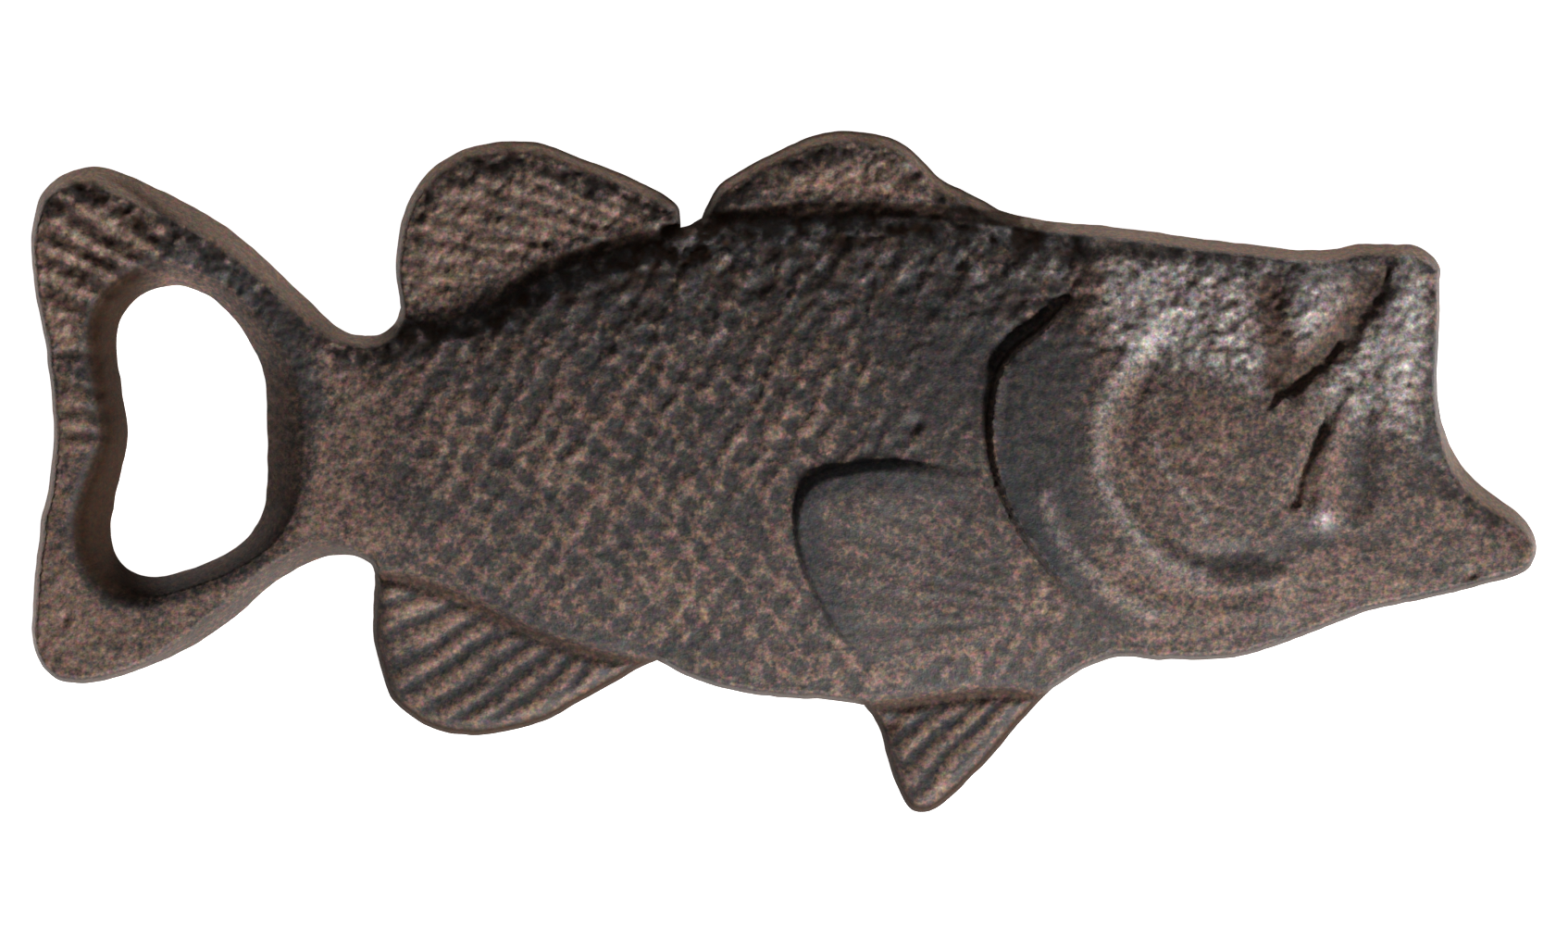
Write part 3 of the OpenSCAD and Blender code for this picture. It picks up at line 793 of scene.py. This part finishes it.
class Casting:
    """Every vertex and face of the casting: a relief, columns of vertices down its sides and along the
    creases between regions, and a flat back."""

    def __init__(self):
        bases = sorted(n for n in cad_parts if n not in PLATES)
        plan = Plan(bases)
        borders = len(plan.points)
        points, loops = skin(plan, {node: plate_outline(node) for node in PLATES})
        xy, triangles, within, became = triangulated(points, loops)
        within = dict(zip(plan.loops, within))
        inside = {}
        for node in plan.loops:
            inside[node] = np.zeros(len(xy), bool)
            inside[node][triangles[within[node]].ravel()] = True
            inside[node][became[plan.loops[node]]] = False
        relief = Relief(xy, plan, inside)
        self.vertices = [np.column_stack([xy, relief.high])]
        self.masks = {name: getattr(relief, name) for name in MASKS}
        self.skins, self.insides = {}, {}

        # Columns of vertices from the plan's vertices down to the flat back
        columns = [became[:borders]]
        for depth, height in WALL_STEPS:
            foot = plan.inset(slice(borders), depth)
            columns.append(self.add(np.column_stack([foot, np.full(borders, height)])))
        floor = self.add(self.sunk(relief, inside))
        back_faces, back_within = self.back(foot, [plan.loops[n] for n in bases], columns[-1])

        # The faces of each piece that show, and those that lie against another piece
        for row, node in enumerate(bases):
            top = triangles[within[node]]
            under = np.zeros(len(xy), bool)
            for plate in PLATES:
                under |= inside[plate]
            sinking = under[top].any(1)
            self.insides[node] = [floor[top[sinking]]]
            self.skins[node] = [top[~sinking], back_faces[back_within[row]]]
            loop = plan.loops[node]
            for a, b in zip(loop, loop[1:] + loop[:1]):
                side = self.skins if (b, a) not in plan.owners else self.insides
                for upper, lower in zip(columns, columns[1:]):
                    side[node].append(quads([upper[a]], [lower[a]], [lower[b]], [upper[b]]))
        for plate in PLATES:
            top = triangles[within[plate]]
            self.skins[plate] = [top]
            self.insides[plate] = [floor[top][:, ::-1]]

        self.vertices = np.vstack(self.vertices)
        for name, mask in self.masks.items():
            beyond = np.full(len(self.vertices) - len(xy), name == "wall")
            self.masks[name] = np.concatenate([mask, beyond])
        self.normals = self.smooth_normals(triangles)

    def add(self, vertices):
        """Adds vertices and returns their numbers."""
        first = sum(len(v) for v in self.vertices)
        self.vertices.append(vertices)
        return np.arange(first, first + len(vertices))

    def sunk(self, relief, inside):
        """The surface under the plates: the relief, but hollowed out where a plate lies on it."""
        depth = np.zeros(len(relief.xy))
        for node in PLATES:
            ring = relief.plan.points[relief.plan.loops[node]]
            gap = nearest(relief.xy, ring, np.roll(ring, -1, 0))[0]
            depth = np.maximum(depth, inside[node] * PLATE_DEPTH * smoothstep(0, 0.8, gap))
        return np.column_stack([relief.xy, relief.high - depth])

    def back(self, foot, loops, column):
        """The flat back's faces, and the loops that each face lies in."""
        low, high = foot.min(0), foot.max(0)
        inner = scattered(low, high, BACK_SPACING, foot, BACK_SPACING * 0.7)
        xy, triangles, within, became = triangulated(np.vstack([foot, inner]), loops)
        x, y = xy.T
        uneven = 0.03 + 0.03 * rough_noise(x, y, 9, 81)
        number = self.add(np.column_stack([xy, np.clip(uneven, 0, 0.06)]))
        number[became[:len(foot)]] = column
        return number[triangles][:, ::-1], within

    def smooth_normals(self, top):
        """Each vertex's normal on the casting's whole skin, so that no seam shows between regions."""
        faces = np.concatenate([top] + [f for node in self.skins if node not in PLATES
                                        for f in self.skins[node]])
        across = face_normals(self.vertices, faces)
        normals = np.zeros_like(self.vertices)
        for corner in faces.T:
            np.add.at(normals, corner, across)
        return normals / np.maximum(np.linalg.norm(normals, axis=1), 1e-12)[:, None]

    def piece(self, node, material):
        """Makes a region's closed piece, and ties it to the CAD node that it replaces."""
        skins, insides = np.concatenate(self.skins[node]), np.concatenate(self.insides[node])
        faces = np.concatenate([skins, insides])
        used, faces_here = np.unique(faces, return_inverse=True)
        faces_here = faces_here.reshape(-1, 3)
        mesh = bpy.data.meshes.new("bass_" + node)
        mesh.from_pydata((self.vertices[used] * MM).tolist(), [], faces_here.tolist())
        for name, values in self.masks.items():
            layer = mesh.attributes.new(name, "FLOAT", "POINT")
            layer.data.foreach_set("value", values[used])
        across = face_normals(self.vertices, insides)
        across /= np.maximum(np.linalg.norm(across, axis=1), 1e-12)[:, None]
        corners = np.concatenate([self.normals[skins].reshape(-1, 3), np.repeat(across, 3, axis=0)])
        mesh.shade_smooth()
        mesh.normals_split_custom_set(corners.tolist())
        mesh.materials.append(material)
        made = bpy.data.objects.new("bass_" + node, mesh)
        bpy.context.scene.collection.objects.link(made)
        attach(made, "root")
        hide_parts(node)


def face_normals(vertices, faces):
    a, b, c = (vertices[faces[:, i]] for i in range(3))
    return np.cross(b - a, c - a)


# ---------------------------------------------------------------- the finish

def add_node(tree, kind, settings=(), **inputs):
    """A shader node with some settings, and with inputs that are values or other nodes' outputs.
    An input is named, with an underscore for a space, or numbered, as in _0."""
    made = tree.nodes.new("ShaderNode" + kind)
    for name, value in dict(settings).items():
        setattr(made, name, value)
    for name, value in inputs.items():
        socket = made.inputs[int(name[1:]) if name[1:].isdigit() else name.replace("_", " ")]
        if isinstance(value, bpy.types.NodeSocket):
            tree.links.new(value, socket)
        else:
            socket.default_value = value
    return made


def combined(tree, start, *terms):
    """start plus each weight times its output."""
    total = start
    for weight, output in terms:
        total = add_node(tree, "Math", {"operation": "MULTIPLY_ADD"}, _0=output, _1=weight,
                         _2=total).outputs[0]
    return total


def lacquered_iron():
    """Dark cast iron under a thin red-brown lacquer, which is lighter where it stands up and is rubbed, with
    painted shade, painted glints and walls painted lighter as if lit from the floor mixed in from the masks.
    """
    material = bpy.data.materials.new(SLOT)
    material.use_nodes = True
    tree = material.node_tree
    place = add_node(tree, "TexCoord").outputs["Object"]

    def noise(size, detail=2.0, roughness=0.55):
        return add_node(tree, "TexNoise", Vector=place, Scale=1 / (size * MM), Detail=detail,
                        Roughness=roughness).outputs[0]

    grey, worn, bare_and_glint, wall, painted_shade = (
        add_node(tree, "Attribute", {"attribute_name": name}).outputs["Fac"] for name in MASKS)
    patches = noise(PATCH)
    mottle = noise(MOTTLE, 3)
    speck = noise(SPECK)
    grain = noise(GRAIN, roughness=0.7)
    brown = combined(tree, -0.45, (0.32, worn), (-0.5, grey), (0.5, patches), (0.9, mottle), (0.6, speck))
    ramp = add_node(tree, "ValToRGB", Fac=brown)
    stops = ramp.color_ramp.elements
    stops[0].color = (*GRAPHITE_AND_SHADE, 1)
    stops[1].color = (*RUBBED, 1)
    for at, tint in ((0.42, DARK_BROWN), (0.72, BROWN)):
        stops.new(at).color = (*tint, 1)
    colour = ramp.outputs[0]
    bare_and_glint_share = combined(tree, -0.75, (1.0, bare_and_glint), (0.8, mottle), (1.2, speck))
    bare_and_glint_share = add_node(tree, "Math", {"operation": "MULTIPLY", "use_clamp": True}, _0=bare_and_glint_share,
                     _1=bare_and_glint).outputs[0]
    # Bare iron with painted glints, the walls' painted light and the dark brown of painted shade go over the
    # lacquer
    for mask, tint in ((bare_and_glint_share, BARE_IRON_AND_GLINT), (combined(tree, 0, (0.8, wall)), LIT_WALL_BROWN),
                       (painted_shade, SHADE_BROWN)):
        colour = add_node(tree, "MixRGB", Fac=mask, Color1=colour, Color2=(*tint, 1)).outputs[0]
    flecks = add_node(tree, "TexNoise", Vector=place, Scale=1 / (FLECK * MM), Detail=2.0).outputs["Color"]
    colour = add_node(tree, "MixRGB", {"blend_type": "OVERLAY"}, Fac=0.65, Color1=colour,
                      Color2=flecks).outputs[0]
    shade = combined(tree, -0.25, (0.7, mottle), (0.8, speck), (1.0, grain))
    colour = add_node(tree, "MixRGB", {"blend_type": "MULTIPLY"}, Fac=1, Color1=colour, Color2=shade)
    relief = combined(tree, 0, (0.55, speck), (0.45, grain))
    bump = add_node(tree, "Bump", Strength=0.75, Distance=BUMP * MM, Height=relief)
    shader = tree.nodes["Principled BSDF"]
    tree.links.new(colour.outputs[0], shader.inputs["Base Color"])
    tree.links.new(bump.outputs[0], shader.inputs["Normal"])
    roughness = combined(tree, 0.46, (0.3, mottle), (0.12, wall), (0.35, painted_shade))
    tree.links.new(roughness, shader.inputs["Roughness"])
    tree.links.new(combined(tree, 0.2, (0.2, bare_and_glint_share)), shader.inputs["Metallic"])
    shader.inputs["Specular IOR Level"].default_value = SPECULAR
    return material


# ---------------------------------------------------------------- the studio

def lamp(name, place, size, power):
    """A rectangular lamp that points at the middle of the casting's back."""
    light = bpy.data.lights.new(name, "AREA")
    light.shape = "RECTANGLE"
    light.size, light.size_y = size
    light.energy = power
    made = bpy.data.objects.new(name, light)
    made.location = place
    made.rotation_euler = (-made.location).to_track_quat("-Z", "Y").to_euler()
    bpy.context.scene.collection.objects.link(made)


def studio():
    """The pale floor, the lamps, the faint sky, and the camera straight above the casting."""
    scene = bpy.context.scene
    scene.view_settings.view_transform = "Standard"
    bpy.ops.mesh.primitive_plane_add(size=FLOOR_SIZE)
    floor = bpy.context.object
    floor.name = "floor"
    paper = bpy.data.materials.new("paper")
    paper.use_nodes = True
    shader = paper.node_tree.nodes["Principled BSDF"]
    shader.inputs["Base Color"].default_value = (PAPER, PAPER, PAPER, 1)
    shader.inputs["Roughness"].default_value = PAPER
    shader.inputs["Emission Color"].default_value = (1, 1, 1, 1)
    shader.inputs["Emission Strength"].default_value = FLOOR_GLOW
    floor.data.materials.append(paper)
    world = bpy.data.worlds.new("studio")
    world.use_nodes = True
    world.node_tree.nodes["Background"].inputs["Color"].default_value = (SKY, SKY, SKY, 1)
    scene.world = world
    for light in LAMPS:
        lamp(*light)
    camera = bpy.data.cameras.new("camera")
    camera.sensor_width = 36
    camera.lens = camera.sensor_width * (CAMERA_HEIGHT - PARTING * MM) / PICTURE_WIDTH
    middle = (cad_box[0] + cad_box[1]) / 2
    made = bpy.data.objects.new("camera", camera)
    made.location = (middle.x, middle.y + CAMERA_OFFSET, CAMERA_HEIGHT)
    bpy.context.scene.collection.objects.link(made)
    scene.camera = made


casting = Casting()
iron = lacquered_iron()
for region in casting.skins:
    casting.piece(region, iron)
studio()
